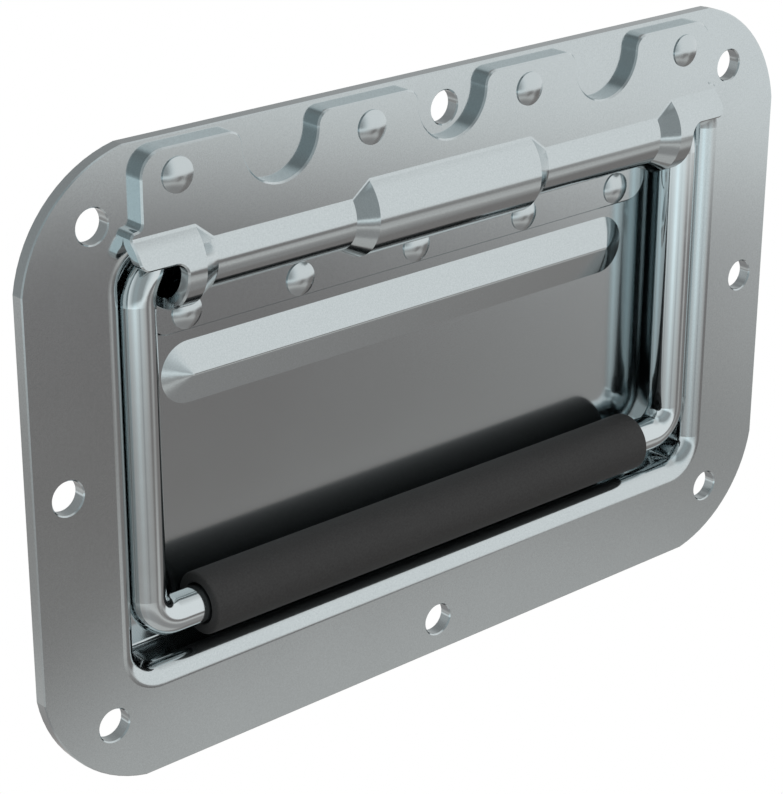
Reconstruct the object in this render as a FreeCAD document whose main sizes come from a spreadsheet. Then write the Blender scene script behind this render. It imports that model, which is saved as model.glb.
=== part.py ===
"""Recessed chest handle, millimetres.

The back of the mounting flange is the plane Y = 0, the front faces -Y, X runs to the right and
Z up. The origin is the middle of the flange's back face. The pan of the dish reaches into the
chest, towards +Y. A bail hangs in the pan and swings out about the hinge line, which runs along X
inside the stepped bead of the cover plate.
"""
import FreeCAD
import Part
import Sketcher

import math
import os

from FreeCAD import Placement, Rotation, Vector

NORMAL = Vector(0, 0, 1)
# How near an edge has to lie to a plane or a size to be picked by it.
NEAR = 0.01

# Driving sizes. Every other size and place is worked out from these.
SIZES = (
    ("sheet", 2.7, "thickness of the dish sheet"),
    ("plate_width", 196.85, "mounting flange, across"),
    ("plate_height", 127.0, "mounting flange, top to bottom"),
    ("corner_radius", 28.5, "arc of a flange corner"),
    ("corner_kink_side", 0.375, "how far the corner arc overshoots the side edge"),
    ("corner_kink_top", 0.6, "how far the corner arc overshoots the top edge"),
    ("screw_hole_radius", 3.37, "mounting screw hole"),
    ("flange_bevel", 0.25, "bevelled front edges of the flange and its screw holes"),
    ("corner_hole_side_margin", 15.27, "corner hole to side edge"),
    ("corner_hole_top_margin", 13.6, "corner hole to top edge"),
    ("middle_hole_margin", 7.5, "middle hole of an edge to that edge"),
    ("side_land", 17.93, "flat flange beside the pan's rim"),
    ("top_land", 18.0, "flat flange above the pan's rim"),
    ("rim_radius", 4.0, "rounding from flange into pan wall"),
    ("pan_corner_radius", 5.0, "inside corner between two pan walls"),
    ("floor_radius", 0.8, "inside rounding between pan wall and floor"),
    ("rib_length", 124.4, "pressed rib in the pan floor, over its round ends"),
    ("rib_width", 12.7, "pressed rib at its foot"),
    ("rib_height", 2.0, "pressed rib above the floor"),
    ("rib_crest_radius", 1.5, "rounding of the rib's crest"),
    ("rib_centre_z", 12.35, "rib's middle line above the middle of the dish"),
    ("cover_sheet", 2.4, "thickness of the cover plate's sheet"),
    ("cover_top_margin", 1.5, "cover plate's top edge below the flange's"),
    ("cover_corner_radius", 5.0, "rounded corners of the cover plate"),
    ("edge_bevel", 0.35, "bevelled front edges of the cover plate"),
    ("notch_width", 17.6, "U notch in the cover's top edge"),
    ("notch_mouth_radius", 2.9, "rounding at a notch's mouth"),
    ("notch_pitch", 42.6, "middle of one notch to the next"),
    ("ear_reach", 0.25, "ear's side edge beyond the pan wall"),
    ("ear_flare_radius", 1.3, "each of the two arcs that flare the side edge out to the ear"),
    ("ear_flare_rise", 4.9, "where the ear's flare ends, above the pan wall"),
    ("ear_edge_rise", 2.0, "ear's lower edge above the bead's axis"),
    ("ear_corner_radius", 2.0, "ear's lower outer corner"),
    ("ear_root_radius", 2.5, "concave corner between ear and bead end"),
    ("bead_axis_drop", 2.55, "bead's axis below the pan's top wall"),
    ("bead_depth", 3.6, "bead's axis behind the flange's front face"),
    ("tube_play", 1.0, "rod to the inside of the narrow bead, all round"),
    ("bead_step", 2.1, "wide bead over narrow bead, in radius"),
    ("crease_radius", 0.9, "concave crease where plate runs into bead"),
    ("barrel_half", 21.4, "middle barrel, half its length"),
    ("taper_length", 4.1, "cone between barrel and narrow bead"),
    ("end_barrel_length", 4.1, "wide bead at each end"),
    ("bend_radius", 0.5, "concave bend between bead and lower flange"),
    ("lower_edge_drop", 17.15, "cover's bottom edge below the bead's axis"),
    ("slot_gap", 1.6, "cover's end to the bail's arm"),
    ("rod_radius", 3.9, "bail rod"),
    ("bail_bend_radius", 6.0, "middle line of the rod's bends"),
    ("arm_gap", 0.4, "bail's arm to the pan's side wall"),
    ("bottom_gap", 2.0, "grip to the pan's bottom wall"),
    ("hinge_gap", 0.35, "rod to the bottom of the narrow bead"),
    ("relief_gap", 0.35, "hinge parts to the relief in the rim"),
    ("hinge_end_gap", 5.0, "between the bail's two hinge ends"),
    ("grip_wall", 2.5, "grip sleeve outside the rod"),
    ("grip_fit", 0.3, "rod to the sleeve's bore"),
    ("grip_end_gap", 6.2, "grip's end to the start of the bail's bend"),
    ("grip_edge_radius", 0.35, "rounded end edges of the grip"),
    ("floor_gap", 0.3, "grip to the pan floor"),
    ("rivet_shank_radius", 2.0, "rivet shank"),
    ("rivet_hole_gap", 0.1, "shank to its hole"),
    ("rivet_head_radius", 3.4, "rivet head"),
    ("rivet_head_edge", 0.25, "straight edge of a rivet head"),
    ("rivet_head_dome", 0.8, "dome above that edge"),
    ("rivet_sink", 0.8, "flush tail's cone in the back of the flange"),
    ("rivet_tail_radius", 3.0, "tail behind the pan floor"),
    ("rivet_tail_height", 1.2, "tail behind the pan floor"),
    ("upper_rivet_drop", 5.5, "upper rivets below the cover's top edge"),
    ("upper_rivet_margin", 7.95, "outer upper rivets to the cover's side edge"),
    ("upper_rivet_inner", 20.65, "inner upper rivets, from the middle"),
    ("lower_rivet_rise", 3.8, "lower rivets above the cover's bottom edge"),
    ("lower_rivet_margin", 9.2, "outer lower rivets to the cover's end"),
    ("lower_rivet_inner", 30.1, "inner lower rivets, from the middle"),
    ("spring_wire_half", 0.7, "square wire of the return springs, half its width"),
    ("spring_gap", 0.3, "rod to the coil's inside"),
    ("spring_pitch", 1.9, "one turn of the coil to the next"),
    ("spring_turns", 5, "whole turns"),
    ("spring_start", 5.0, "middle of the first turn from the middle of the bail"),
    ("spring_hole_gap", 0.15, "wire's corners to its cross hole in the rod"),
)

# Sizes that follow from the driving ones.
WORKED = (
    ("flange_front_y", "-Sizes.sheet"),
    ("rim_x", "Sizes.plate_width / 2 - Sizes.side_land"),
    ("rim_z", "Sizes.plate_height / 2 - Sizes.top_land"),
    ("pan_x", "Worked.rim_x - Sizes.rim_radius"),
    ("pan_z", "Worked.rim_z - Sizes.rim_radius"),
    ("grip_radius", "Sizes.rod_radius + Sizes.grip_wall"),
    ("recess_depth", "Sizes.bead_depth + Worked.grip_radius + Sizes.floor_gap"),
    ("floor_front_y", "Worked.recess_depth - Sizes.sheet"),
    ("floor_back_y", "Worked.recess_depth"),
    ("bead_y", "Sizes.bead_depth - Sizes.sheet"),
    ("bead_z", "Worked.pan_z - Sizes.bead_axis_drop"),
    ("pivot_z", "Worked.bead_z - Sizes.tube_play + Sizes.hinge_gap"),
    ("narrow_bead", "Sizes.rod_radius + Sizes.tube_play + Sizes.cover_sheet"),
    ("wide_bead", "Worked.narrow_bead + Sizes.bead_step"),
    ("arm_x", "Worked.pan_x - Sizes.arm_gap - Sizes.rod_radius"),
    ("bail_bottom_z", "Worked.grip_radius + Sizes.bottom_gap - Worked.pan_z"),
    ("grip_half", "Worked.arm_x - Sizes.bail_bend_radius - Sizes.grip_end_gap"),
    ("cover_end_x", "Worked.arm_x - Sizes.rod_radius - Sizes.slot_gap"),
    ("ear_x", "Worked.pan_x + Sizes.ear_reach"),
    ("cover_side_x", "Worked.ear_x - 2 * Sizes.ear_flare_radius"),
    ("cover_top_z", "Sizes.plate_height / 2 - Sizes.cover_top_margin"),
    ("cover_bottom_z", "Worked.bead_z - Sizes.lower_edge_drop"),
    ("cover_front_y", "Worked.flange_front_y - Sizes.cover_sheet"),
    ("lower_flange_front_y", "Worked.floor_front_y - Sizes.cover_sheet"),
    ("ear_edge_z", "Worked.bead_z + Sizes.ear_edge_rise"),
    ("corner_hole_x", "Sizes.plate_width / 2 - Sizes.corner_hole_side_margin"),
    ("corner_hole_z", "Sizes.plate_height / 2 - Sizes.corner_hole_top_margin"),
    ("middle_hole_x", "Sizes.plate_width / 2 - Sizes.middle_hole_margin"),
    ("middle_hole_z", "Sizes.plate_height / 2 - Sizes.middle_hole_margin"),
    ("rivet_hole_radius", "Sizes.rivet_shank_radius + Sizes.rivet_hole_gap"),
    ("upper_rivet_z", "Worked.cover_top_z - Sizes.upper_rivet_drop"),
    ("upper_rivet_outer", "Worked.cover_side_x - Sizes.upper_rivet_margin"),
    ("lower_rivet_z", "Worked.cover_bottom_z + Sizes.lower_rivet_rise"),
    ("lower_rivet_outer", "Worked.cover_end_x - Sizes.lower_rivet_margin"),
    ("spring_radius", "Sizes.rod_radius + Sizes.spring_gap + Sizes.spring_wire_half"),
    ("spring_outer_radius", "Worked.spring_radius + Sizes.spring_wire_half"),
    ("spring_wire_corner", "Sizes.spring_wire_half * sqrt(2)"),
)

doc = FreeCAD.newDocument("chest_handle")
sheet = doc.addObject("Spreadsheet::Sheet", "Sizes")
for row, (name, value, note) in enumerate(SIZES, start=1):
    sheet.set(f"A{row}", name)
    sheet.set(f"B{row}", str(value))
    sheet.setAlias(f"B{row}", name)
    sheet.set(f"C{row}", note)
worked = doc.addObject("App::VarSet", "Worked")
doc.recompute()
for name, formula in WORKED:
    worked.addProperty("App::PropertyFloat", name)
    worked.setExpression(name, formula)
doc.recompute()

subparts = []


class Outline:
    """An open or closed outline in a sketch's plane, drawn run by run from its start."""

    def __init__(self, across, up):
        self.here = Vector(across, up, 0)
        self.edges = []

    def line(self, across, up):
        """A straight run to a point."""
        end = Vector(across, up, 0)
        self.edges.append(Part.LineSegment(self.here, end))
        self.here = end

    def arc(self, centre, across, up, clockwise=False):
        """A round run about a centre to a point."""
        middle = Vector(centre[0], centre[1], 0)
        end = Vector(across, up, 0)
        first, last = (end, self.here) if clockwise else (self.here, end)
        circle = Part.Circle(middle, NORMAL, (self.here - middle).Length)
        start_angle = math.atan2(first.y - middle.y, first.x - middle.x)
        end_angle = math.atan2(last.y - middle.y, last.x - middle.x)
        if end_angle <= start_angle:
            end_angle += 2 * math.pi
        self.edges.append(Part.ArcOfCircle(circle, start_angle, end_angle))
        self.here = end


def new_body(label):
    """An empty body that becomes one sub-part."""
    body = doc.addObject("PartDesign::Body", label)
    body.Label = label
    subparts.append(body)
    return body


def new_sketch(body, plane, name, edges=(), offset=None):
    """A sketch on one of the body's origin planes; offset gives expressions for its shift."""
    sketch = body.newObject("Sketcher::SketchObject", name)
    support = [item for item in body.Origin.OriginFeatures if item.Role == plane][0]
    sketch.AttachmentSupport = [(support, "")]
    sketch.MapMode = "FlatFace"
    for axis, formula in (offset or {}).items():
        sketch.setExpression(f"AttachmentOffset.Base.{axis}", formula)
    for edge in edges:
        sketch.addGeometry(edge, False)
    return sketch


def add_circle(sketch, across, up, radius):
    """A circle whose middle and radius are bound to expressions."""
    start = Vector(sketch.evalExpression(across), sketch.evalExpression(up), 0)
    circle = Part.Circle(start, NORMAL, sketch.evalExpression(radius))
    index = sketch.addGeometry(circle, False)
    for kind, formula, value in (("DistanceX", across, start.x), ("DistanceY", up, start.y)):
        number = sketch.addConstraint(Sketcher.Constraint(kind, -1, 1, index, 3, value))
        sketch.setExpression(f"Constraints[{number}]", formula)
    number = sketch.addConstraint(Sketcher.Constraint("Radius", index, circle.Radius))
    sketch.setExpression(f"Constraints[{number}]", radius)


def new_feature(body, kind, name, profile, **settings):
    """A body feature made from a sketch; a setting that is text starting with = is an expression."""
    feature = body.newObject(f"PartDesign::{kind}", name)
    feature.Profile = profile
    for key, value in settings.items():
        if isinstance(value, str) and value.startswith("="):
            feature.setExpression(key, value[1:])
        else:
            setattr(feature, key, value)
    doc.recompute()
    return feature


def dress_edges(body, kind, name, test, size_property, formula):
    """A fillet or chamfer on the edges of the body's tip that pass the test."""
    tip = body.Tip
    chosen = [f"Edge{number}" for number, edge in enumerate(tip.Shape.Edges, start=1) if test(edge.BoundBox)]
    feature = body.newObject(f"PartDesign::{kind}", name)
    feature.Base = (tip, chosen)
    feature.setExpression(size_property, formula)
    doc.recompute()
    return feature


def level_at(box, y):
    """True when an edge lies in the plane at this depth."""
    return abs(box.YMin - y) < NEAR and abs(box.YMax - y) < NEAR


def rounded_rectangle(half_x, half_z, radius):
    """A rectangle about the origin with tangent corner arcs."""
    outline = Outline(half_x, radius - half_z)
    outline.line(half_x, half_z - radius)
    outline.arc((half_x - radius, half_z - radius), half_x - radius, half_z)
    outline.line(radius - half_x, half_z)
    outline.arc((radius - half_x, half_z - radius), -half_x, half_z - radius)
    outline.line(-half_x, radius - half_z)
    outline.arc((radius - half_x, radius - half_z), radius - half_x, -half_z)
    outline.line(half_x - radius, -half_z)
    outline.arc((half_x - radius, radius - half_z), half_x, radius - half_z)
    return outline.edges


def flange_outline():
    """The flange's outline: each corner arc meets its two edges in a slight kink."""
    half_x = sheet.plate_width / 2
    half_z = sheet.plate_height / 2
    radius = sheet.corner_radius
    centre_x = half_x - radius + sheet.corner_kink_side
    centre_z = half_z - radius + sheet.corner_kink_top
    side_z = centre_z + math.sqrt(radius ** 2 - (half_x - centre_x) ** 2)
    top_x = centre_x + math.sqrt(radius ** 2 - (half_z - centre_z) ** 2)
    outline = Outline(half_x, -side_z)
    outline.line(half_x, side_z)
    outline.arc((centre_x, centre_z), top_x, half_z)
    outline.line(-top_x, half_z)
    outline.arc((-centre_x, centre_z), -half_x, side_z)
    outline.line(-half_x, -side_z)
    outline.arc((-centre_x, -centre_z), -top_x, -half_z)
    outline.line(top_x, -half_z)
    outline.arc((centre_x, -centre_z), half_x, -side_z)
    return outline.edges


def rib_slope(base_y):
    """Half the rib's foot, where its slope meets the crest's arc, and the depth of that arc's centre."""
    half = sheet.rib_width / 2
    crest = sheet.rib_crest_radius
    crest_y = base_y - sheet.rib_height + crest
    reach = math.hypot(half, base_y - crest_y)
    slope_length = math.sqrt(reach ** 2 - crest ** 2)
    lean = math.atan2(base_y - crest_y, half) + math.asin(crest / reach)
    touch_across = half - slope_length * math.cos(lean)
    touch_y = base_y - slope_length * math.sin(lean)
    return half, (touch_across, touch_y), crest_y


def whole_rib_section(base_y, root_y):
    """The ridge over its foot at base_y, across both slopes, closed behind at root_y."""
    half, touch, crest_y = rib_slope(base_y)
    middle = sheet.rib_centre_z
    outline = Outline(root_y, middle - half)
    outline.line(base_y, middle - half)
    outline.line(touch[1], middle - touch[0])
    outline.arc((crest_y, middle), touch[1], middle + touch[0], clockwise=True)
    outline.line(base_y, middle + half)
    outline.line(root_y, middle + half)
    outline.line(root_y, middle - half)
    return outline.edges


def half_rib_section(base_y, root_y):
    """Half of that ridge, to be turned about the middle of the rib's round end."""
    half, touch, crest_y = rib_slope(base_y)
    outline = Outline(0, root_y)
    outline.line(half, root_y)
    outline.line(half, base_y)
    outline.line(touch[0], touch[1])
    outline.arc((0, crest_y), 0, base_y - sheet.rib_height, clockwise=True)
    outline.line(0, root_y)
    return outline.edges


def press_rib(body, name, base_y, root_y, straight_kind, round_kind):
    """The rib's straight stretch and its two round ends, added or cut."""
    end_x = (sheet.rib_length - sheet.rib_width) / 2
    section = new_sketch(body, "YZ_Plane", f"{name}_section", whole_rib_section(base_y, root_y))
    new_feature(body, straight_kind, f"{name}_straight", section, SideType="Symmetric", Length=2 * end_x)
    for side, word in ((-1, "left"), (1, "right")):
        half = new_sketch(
            body, "XY_Plane", f"{name}_{word}_half", half_rib_section(base_y, root_y),
            {"x": f"{side} * (Sizes.rib_length - Sizes.rib_width) / 2", "z": "Sizes.rib_centre_z"})
        new_feature(
            body, round_kind, f"{name}_{word}_end", half, ReferenceAxis=(half, ["V_Axis"]), Angle=360)


def make_recess_dish():
    """Flange, pan with rounded rim, pressed rib, hinge relief and all holes."""
    body = new_body("recess_dish")
    new_feature(
        body, "Pad", "flange", new_sketch(body, "XZ_Plane", "flange_outline", flange_outline()),
        Length="=Sizes.sheet")
    outside = rounded_rectangle(
        worked.pan_x + sheet.sheet, worked.pan_z + sheet.sheet, sheet.pan_corner_radius + sheet.sheet)
    new_feature(
        body, "Pad", "pan_outside", new_sketch(body, "XZ_Plane", "pan_outside_outline", outside),
        Length="=Worked.floor_back_y", Reversed=True)
    inside = rounded_rectangle(worked.pan_x, worked.pan_z, sheet.pan_corner_radius)
    new_feature(
        body, "Pocket", "pan_inside",
        new_sketch(body, "XZ_Plane", "pan_inside_outline", inside, {"z": "Sizes.sheet"}),
        Length="=Worked.recess_depth")

    def near_pan(box, reach):
        wide = max(box.XMax, -box.XMin) - worked.pan_x
        high = max(box.ZMax, -box.ZMin) - worked.pan_z
        return max(wide, high) < reach

    dress_edges(
        body, "Fillet", "rim_front",
        lambda box: level_at(box, worked.flange_front_y) and near_pan(box, NEAR),
        "Radius", "Sizes.rim_radius")
    dress_edges(
        body, "Fillet", "rim_back", lambda box: level_at(box, 0) and near_pan(box, sheet.sheet + NEAR),
        "Radius", "Sizes.rim_radius - Sizes.sheet")
    dress_edges(
        body, "Fillet", "floor_inside", lambda box: level_at(box, worked.floor_front_y),
        "Radius", "Sizes.floor_radius")
    dress_edges(
        body, "Fillet", "floor_outside", lambda box: level_at(box, worked.floor_back_y),
        "Radius", "Sizes.floor_radius + Sizes.sheet")

    overlap = sheet.sheet / 2
    press_rib(body, "rib", worked.floor_front_y, worked.floor_front_y + overlap, "Pad", "Revolution")
    press_rib(body, "rib_hollow", worked.floor_back_y, worked.floor_back_y + overlap, "Pocket", "Groove")

    relief = new_sketch(
        body, "XY_Plane", "hinge_relief_section", hinge_relief(),
        {"y": "Worked.bead_y", "z": "Worked.pivot_z"})
    new_feature(body, "Groove", "hinge_relief", relief, ReferenceAxis=(relief, ["H_Axis"]), Angle=360)
    window = new_sketch(
        body, "XY_Plane", "spring_window_outline", spring_window(), {"z": "Worked.pivot_z"})
    new_feature(
        body, "Pocket", "spring_window", window, Reversed=True,
        Length="=Worked.pan_z + 2 * Sizes.sheet - Worked.pivot_z")

    holes = new_sketch(body, "XZ_Plane", "screw_hole_circles")
    for side in (-1, 1):
        for level in (-1, 1):
            add_circle(
                holes, f"{side} * Worked.corner_hole_x", f"{level} * Worked.corner_hole_z",
                "Sizes.screw_hole_radius")
        add_circle(holes, f"{side} * Worked.middle_hole_x", "0", "Sizes.screw_hole_radius")
        add_circle(holes, "0", f"{side} * Worked.middle_hole_z", "Sizes.screw_hole_radius")
    new_feature(body, "Pocket", "screw_holes", holes, SideType="Symmetric", Length="=4 * Sizes.sheet")
    cut_rivet_holes(body)
    dress_edges(
        body, "Chamfer", "rivet_sinks", is_upper_rivet_hole_edge, "Size", "Sizes.rivet_sink")
    dress_edges(body, "Chamfer", "flange_edge", is_flange_edge, "Size", "Sizes.flange_bevel")
    return body


def hinge_relief():
    """Half section, about the hinge line, of the room that rod and springs need in the rim."""
    end_x = worked.arm_x + 2 * sheet.relief_gap
    narrow = sheet.rod_radius + sheet.relief_gap
    wide = worked.spring_outer_radius + sheet.relief_gap
    outline = Outline(-end_x, 0)
    outline.line(end_x, 0)
    outline.line(end_x, narrow)
    outline.line(sheet.barrel_half, narrow)
    outline.line(sheet.barrel_half, wide)
    outline.line(-sheet.barrel_half, wide)
    outline.line(-sheet.barrel_half, narrow)
    outline.line(-end_x, narrow)
    outline.line(-end_x, 0)
    return outline.edges


def spring_window():
    """The opening in the pan's top wall behind the cover, where the springs stand through it."""
    half = sheet.barrel_half
    back = worked.bead_y + worked.spring_outer_radius / 2
    outline = Outline(-half, 0)
    outline.line(half, 0)
    outline.line(half, back)
    outline.line(-half, back)
    outline.line(-half, 0)
    return outline.edges


def is_flange_edge(box):
    """True for a front edge of the flange's outline or of a screw hole."""
    half_x, half_z = sheet.plate_width / 2, sheet.plate_height / 2
    outer = max(box.XMax - half_x, -box.XMin - half_x, box.ZMax - half_z, -box.ZMin - half_z) > -NEAR
    screw_hole = abs(box.XLength - 2 * sheet.screw_hole_radius) < NEAR
    return level_at(box, worked.flange_front_y) and (outer or screw_hole)


def is_upper_rivet_hole_edge(box):
    """True for the back edge of a rivet hole in the flange."""
    round_size = 2 * worked.rivet_hole_radius
    middle_z = (box.ZMin + box.ZMax) / 2
    return (
        level_at(box, 0) and abs(box.XLength - round_size) < NEAR
        and abs(middle_z - worked.upper_rivet_z) < NEAR)


def upper_rivet_places():
    """Expressions for the places of the rivets through plate and flange."""
    return [
        (f"{side} * {across}", "Worked.upper_rivet_z")
        for side, across in (
            (-1, "Worked.upper_rivet_outer"), (-1, "Sizes.upper_rivet_inner"),
            (1, "Sizes.upper_rivet_inner"), (1, "Worked.upper_rivet_outer"))]


def lower_rivet_places():
    """Expressions for the places of the rivets through lower flange and pan floor."""
    return [
        (f"{side} * {across}", "Worked.lower_rivet_z")
        for side, across in (
            (-1, "Worked.lower_rivet_outer"), (-1, "Sizes.lower_rivet_inner"), (0, "Sizes.lower_rivet_inner"),
            (1, "Sizes.lower_rivet_inner"), (1, "Worked.lower_rivet_outer"))]


def cut_rivet_holes(body):
    """The nine rivet holes, through whatever sheet lies there."""
    circles = new_sketch(body, "XZ_Plane", "rivet_hole_circles")
    for across, up in upper_rivet_places() + lower_rivet_places():
        add_circle(circles, across, up, "Worked.rivet_hole_radius")
    new_feature(
        body, "Pocket", "rivet_holes", circles, SideType="Symmetric", Length="=4 * Worked.recess_depth")


def bead_section(radius):
    """The cover sheet's section square to X where the bead has this outer radius.

    From the top: plate, concave crease, bead about its axis, straight run back, concave bend and
    lower flange; then the same at one sheet's depth behind, back up to the top.
    """
    thick = sheet.cover_sheet
    axis_y, axis_z = worked.bead_y, worked.bead_z
    front_y = worked.cover_front_y
    crease = sheet.crease_radius
    crease_y = front_y - crease
    crease_z = axis_z + math.sqrt((radius + crease) ** 2 - (axis_y - crease_y) ** 2)
    lean_y = (crease_y - axis_y) / (radius + crease)
    lean_z = (crease_z - axis_z) / (radius + crease)
    run_z = axis_z - radius
    lower_y = worked.lower_flange_front_y
    bend = sheet.bend_radius
    bend_y, bend_z = lower_y - bend, run_z - bend
    inner = radius - thick
    top_z, bottom_z = worked.cover_top_z, worked.cover_bottom_z

    outline = Outline(front_y, top_z)
    outline.line(front_y, crease_z)
    outline.arc((crease_y, crease_z), axis_y + radius * lean_y, axis_z + radius * lean_z, clockwise=True)
    outline.arc((axis_y, axis_z), axis_y, run_z)
    outline.line(bend_y, run_z)
    outline.arc((bend_y, bend_z), lower_y, bend_z, clockwise=True)
    outline.line(lower_y, bottom_z)
    outline.line(lower_y + thick, bottom_z)
    outline.line(lower_y + thick, bend_z)
    outline.arc((bend_y, bend_z), bend_y, run_z + thick)
    outline.line(axis_y, run_z + thick)
    outline.arc(
        (axis_y, axis_z), axis_y + inner * lean_y, axis_z + inner * lean_z, clockwise=True)
    outline.arc((crease_y, crease_z), front_y + thick, crease_z)
    outline.line(front_y + thick, top_z)
    outline.line(front_y, top_z)
    return outline.edges


def cover_outline():
    """The cover seen from the front: notched top edge, ears, bead ends and lower flange."""
    top_z, bottom_z = worked.cover_top_z, worked.cover_bottom_z
    side_x, ear_x, end_x = worked.cover_side_x, worked.ear_x, worked.cover_end_x
    corner = sheet.cover_corner_radius
    mouth = sheet.notch_mouth_radius
    notch = sheet.notch_width / 2
    notch_z = top_z - mouth
    flare = sheet.ear_flare_radius
    flare_z = worked.pan_z + sheet.ear_flare_rise
    ear_corner, root = sheet.ear_corner_radius, sheet.ear_root_radius
    ear_z = worked.ear_edge_z

    outline = Outline(-end_x + corner, bottom_z)
    outline.line(end_x - corner, bottom_z)
    outline.arc((end_x - corner, bottom_z + corner), end_x, bottom_z + corner)
    outline.line(end_x, ear_z - root)
    outline.arc((end_x + root, ear_z - root), end_x + root, ear_z, clockwise=True)
    outline.line(ear_x - ear_corner, ear_z)
    outline.arc((ear_x - ear_corner, ear_z + ear_corner), ear_x, ear_z + ear_corner)
    outline.line(ear_x, flare_z)
    outline.arc((ear_x - flare, flare_z), ear_x - flare, flare_z + flare)
    outline.arc((side_x + flare, flare_z + 2 * flare), side_x, flare_z + 2 * flare, clockwise=True)
    outline.line(side_x, top_z - corner)
    outline.arc((side_x - corner, top_z - corner), side_x - corner, top_z)
    for middle in (sheet.notch_pitch, 0, -sheet.notch_pitch):
        outline.line(middle + notch + mouth, top_z)
        outline.arc((middle + notch + mouth, notch_z), middle + notch, notch_z)
        outline.arc((middle, notch_z), middle - notch, notch_z, clockwise=True)
        outline.arc((middle - notch - mouth, notch_z), middle - notch - mouth, top_z)
    outline.line(-side_x + corner, top_z)
    outline.arc((-side_x + corner, top_z - corner), -side_x, top_z - corner)
    outline.line(-side_x, flare_z + 2 * flare)
    outline.arc((-side_x - flare, flare_z + 2 * flare), -ear_x + flare, flare_z + flare, clockwise=True)
    outline.arc((-ear_x + flare, flare_z), -ear_x, flare_z)
    outline.line(-ear_x, ear_z + ear_corner)
    outline.arc((-ear_x + ear_corner, ear_z + ear_corner), -ear_x + ear_corner, ear_z)
    outline.line(-end_x - root, ear_z)
    outline.arc((-end_x - root, ear_z - root), -end_x, ear_z - root, clockwise=True)
    outline.line(-end_x, bottom_z + corner)
    outline.arc((-end_x + corner, bottom_z + corner), -end_x + corner, bottom_z)
    return outline.edges


def make_cover_plate():
    """One sheet: a stepped bead drawn through its sections, then trimmed to the front outline."""
    body = new_body("cover_plate")
    end_barrel_x = "(Worked.cover_end_x - Sizes.end_barrel_length)"
    narrow_end_x = f"({end_barrel_x} - Sizes.taper_length)"
    narrow_start_x = "(Sizes.barrel_half + Sizes.taper_length)"
    half = (
        ("Sizes.barrel_half", worked.wide_bead), (narrow_start_x, worked.narrow_bead),
        (narrow_end_x, worked.narrow_bead), (end_barrel_x, worked.wide_bead),
        ("Worked.ear_x", worked.wide_bead))
    stations = [(f"-{across}", radius) for across, radius in reversed(half)] + list(half)
    sections = [
        new_sketch(body, "YZ_Plane", f"section_{number}", bead_section(radius), {"z": across})
        for number, (across, radius) in enumerate(stations, start=1)]
    doc.recompute()
    new_feature(body, "AdditiveLoft", "bead_and_flanges", sections[0], Sections=sections[1:], Ruled=True)

    waste = 10
    frame = rounded_rectangle(worked.ear_x + waste, worked.cover_top_z + waste, waste)
    trim = new_sketch(body, "XZ_Plane", "front_outline", frame + cover_outline())
    new_feature(body, "Pocket", "front_trim", trim, SideType="Symmetric", Length="=8 * Worked.recess_depth")
    dress_edges(body, "Chamfer", "plate_edge", is_plate_edge, "Size", "Sizes.edge_bevel")
    cut_rivet_holes(body)
    return body


def is_plate_edge(box):
    """True for the trimmed edges of the cover plate's flat front."""
    return level_at(box, worked.cover_front_y) and box.ZMax > worked.pan_z + sheet.ear_flare_rise + NEAR


def bail_path():
    """The rod's middle line, relative to the hinge line, from one hinge end round to the other."""
    start = sheet.hinge_end_gap / 2
    side = worked.arm_x
    bend = sheet.bail_bend_radius
    bottom = worked.bail_bottom_z - worked.pivot_z
    outline = Outline(start, 0)
    outline.line(side - bend, 0)
    outline.arc((side - bend, -bend), side, -bend, clockwise=True)
    outline.line(side, bottom + bend)
    outline.arc((side - bend, bottom + bend), side - bend, bottom, clockwise=True)
    outline.line(bend - side, bottom)
    outline.arc((bend - side, bottom + bend), -side, bottom + bend, clockwise=True)
    outline.line(-side, -bend)
    outline.arc((bend - side, -bend), bend - side, 0, clockwise=True)
    outline.line(-start, 0)
    return outline.edges


def make_handle_bail():
    """The bent rod, with a cross hole near each hinge end for a spring's leg."""
    body = new_body("handle_bail")
    path = new_sketch(body, "XZ_Plane", "rod_path", bail_path())
    section = new_sketch(body, "YZ_Plane", "rod_section", offset={"z": "Sizes.hinge_end_gap / 2"})
    add_circle(section, "0", "0", "Sizes.rod_radius")
    doc.recompute()
    runs = [f"Edge{number}" for number in range(1, len(path.Shape.Edges) + 1)]
    new_feature(body, "AdditivePipe", "rod", section, Spine=(path, runs))
    holes = new_sketch(body, "XY_Plane", "spring_hole_circles")
    for side in (-1, 1):
        add_circle(
            holes, f"{side} * Sizes.spring_start", "0",
            "Worked.spring_wire_corner + Sizes.spring_hole_gap")
    new_feature(body, "Pocket", "spring_holes", holes, SideType="Symmetric", Length="=3 * Sizes.rod_radius")
    body.setExpression("Placement.Base.y", "Worked.bead_y")
    body.setExpression("Placement.Base.z", "Worked.pivot_z")
    return body


def make_grip_sleeve():
    """A plain tube round the bail's bottom run."""
    body = new_body("grip_sleeve")
    half = worked.grip_half
    bore = sheet.rod_radius + sheet.grip_fit
    outer = worked.grip_radius
    edge = sheet.grip_edge_radius
    outline = Outline(-half, bore)
    outline.line(half, bore)
    outline.line(half, outer - edge)
    outline.arc((half - edge, outer - edge), half - edge, outer)
    outline.line(edge - half, outer)
    outline.arc((edge - half, outer - edge), -half, outer - edge)
    outline.line(-half, bore)
    section = new_sketch(body, "XY_Plane", "sleeve_section", outline.edges)
    new_feature(body, "Revolution", "sleeve", section, ReferenceAxis=(section, ["H_Axis"]), Angle=360)
    body.setExpression("Placement.Base.y", "Worked.bead_y")
    body.setExpression("Placement.Base.z", "Worked.bail_bottom_z")
    return body


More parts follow.
